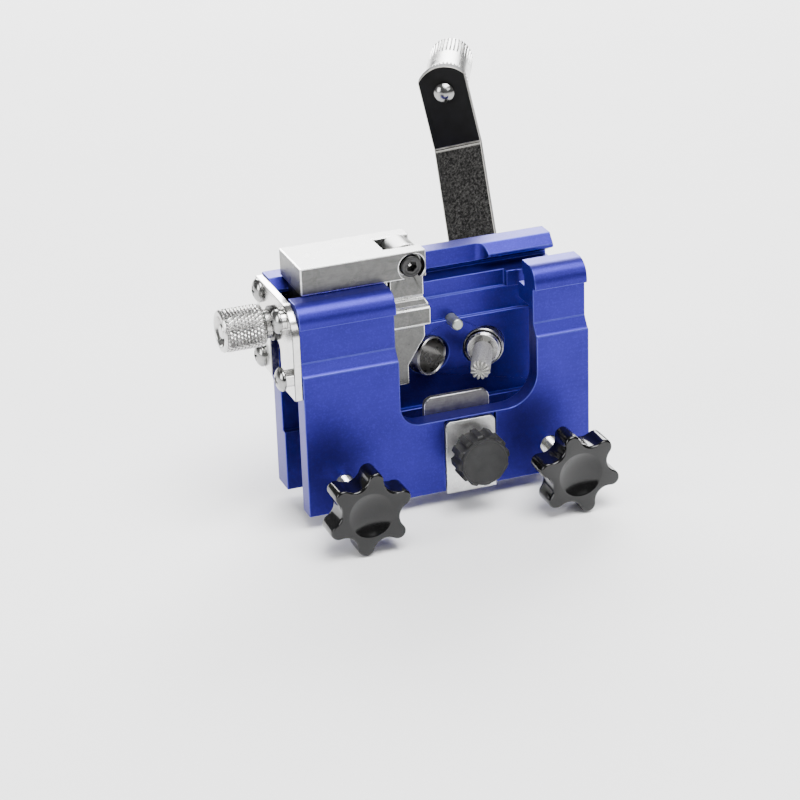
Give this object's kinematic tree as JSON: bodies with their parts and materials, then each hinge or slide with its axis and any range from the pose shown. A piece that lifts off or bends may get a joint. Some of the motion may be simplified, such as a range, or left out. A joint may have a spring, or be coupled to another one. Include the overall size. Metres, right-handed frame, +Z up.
{
  "type": "manual chainsaw sharpener",
  "caption": "Hand-cranked chainsaw sharpener: a blue saddle that clamps over the guide bar, with a sliding block and pawl, an angled burr spindle and a cranked arm with a knurled handle.",
  "frame": {"origin": "middle of the guide bar's seat: halfway along the body, in the bar's mid-plane, at the body's lower edge", "axes": "+X along the guide bar, away from the adjuster; +Y across the bar, from the clamp knobs towards the crank; +Z up, away from the bar"},
  "size_m": [0.0972, 0.1127, 0.0939],
  "materials": {
    "anodised_blue": "satin anodised, blue",
    "plated_steel": "bright nickel plate",
    "milled_metal": "satin, fine milling marks",
    "dark_steel": "oiled, dark",
    "black_steel": "black oxide",
    "dull_steel": "dull, unpolished",
    "burr_grit": "fine grit, matte",
    "gloss_black_plastic": "gloss black",
    "matte_black_plastic": "matte black",
    "black_paint": "black, worn to grey along the slanted part"
  },
  "bodies": {
    "frame": {"body": "anodised_blue", "end_plate": "plated_steel", "end_plate_screws": "plated_steel", "end_plate_spacers": "plated_steel", "left_bushing": "dark_steel", "right_bushing": "dark_steel", "stop_pin": "plated_steel", "adjuster_washer": "black_steel"},
    "adjuster": {"lead_screw": "plated_steel", "adjuster_knob": "milled_metal", "adjuster_collar": "dark_steel"},
    "slider": {"slider_block": "milled_metal", "pawl_pivot_screw": "black_steel"},
    "pawl_arm": {"pawl": "milled_metal"},
    "left_clamp": {"left_clamp_stud": "plated_steel"},
    "left_knob": {"left_star_knob": "gloss_black_plastic"},
    "right_clamp": {"right_clamp_stud": "plated_steel"},
    "right_knob": {"right_star_knob": "gloss_black_plastic"},
    "height_stop": {"height_plate": "plated_steel", "chain_rest": "dull_steel"},
    "stop_screw": {"centre_screw": "plated_steel"},
    "stop_knob": {"centre_knob": "matte_black_plastic"},
    "crank": {"spindle": "dark_steel", "burr": "burr_grit", "burr_set_screw": "black_steel", "crank_arm": "black_paint", "crank_washer": "plated_steel", "crank_nut": "plated_steel", "handle_screw": "plated_steel", "handle_dome_nut": "plated_steel", "handle_washer": "plated_steel"},
    "grip": {"handle": "milled_metal"}
  },
  "joints": [
    {"name": "adjuster_spin", "type": "hinge", "parent": "frame", "child": "adjuster", "pos_m": [-0.038, 0.0002, 0.0472], "axis": [1, 0, 0], "range_deg": [-1125, 900]},
    {"name": "slider_slide", "type": "slide", "parent": "frame", "child": "slider", "axis": [1, 0, 0], "range_m": [-0.002, 0.0025]},
    {"name": "pawl_swing", "type": "hinge", "parent": "slider", "child": "pawl_arm", "pos_m": [-0.00584, 0, 0.05869], "axis": [0, -1, 0], "range_deg": [0, 25]},
    {"name": "left_stud_slide", "type": "slide", "parent": "frame", "child": "left_clamp", "axis": [0, 1, 0], "range_m": [-0.003, 0]},
    {"name": "left_knob_spin", "type": "hinge", "parent": "left_clamp", "child": "left_knob", "pos_m": [-0.0285, -0.015, 0.0075], "axis": [0, 1, 0], "range_deg": [-1350, 0]},
    {"name": "right_stud_slide", "type": "slide", "parent": "frame", "child": "right_clamp", "axis": [0, 1, 0], "range_m": [-0.003, 0]},
    {"name": "right_knob_spin", "type": "hinge", "parent": "right_clamp", "child": "right_knob", "pos_m": [0.027, -0.015, 0.0075], "axis": [0, 1, 0], "range_deg": [-1350, 0]},
    {"name": "height_slide", "type": "slide", "parent": "frame", "child": "height_stop", "axis": [0, 0, 1], "range_m": [-0.003, 0.0003]},
    {"name": "stop_screw_slide", "type": "slide", "parent": "height_stop", "child": "stop_screw", "axis": [0, 1, 0], "range_m": [-0.0008, 0]},
    {"name": "stop_knob_spin", "type": "hinge", "parent": "stop_screw", "child": "stop_knob", "pos_m": [0.0055, -0.015, 0.0108], "axis": [0, 1, 0], "range_deg": [-360, 0]},
    {"name": "crank_spin", "type": "hinge", "parent": "frame", "child": "crank", "pos_m": [0.017, 0.004, 0.0296], "axis": [0.4226, 0.9063, 0], "continuous": true},
    {"name": "handle_spin", "type": "hinge", "parent": "crank", "child": "grip", "pos_m": [0.02641, 0.05086, 0.08358], "axis": [0.4226, 0.9063, 0], "continuous": true}
  ],
  "couplings": [
    {"joint": "adjuster_spin", "follows": "slider_slide", "rad_per_m": -7854},
    {"joint": "left_knob_spin", "follows": "left_stud_slide", "rad_per_m": 7854},
    {"joint": "right_knob_spin", "follows": "right_stud_slide", "rad_per_m": 7854},
    {"joint": "stop_knob_spin", "follows": "stop_screw_slide", "rad_per_m": 7854}
  ]
}
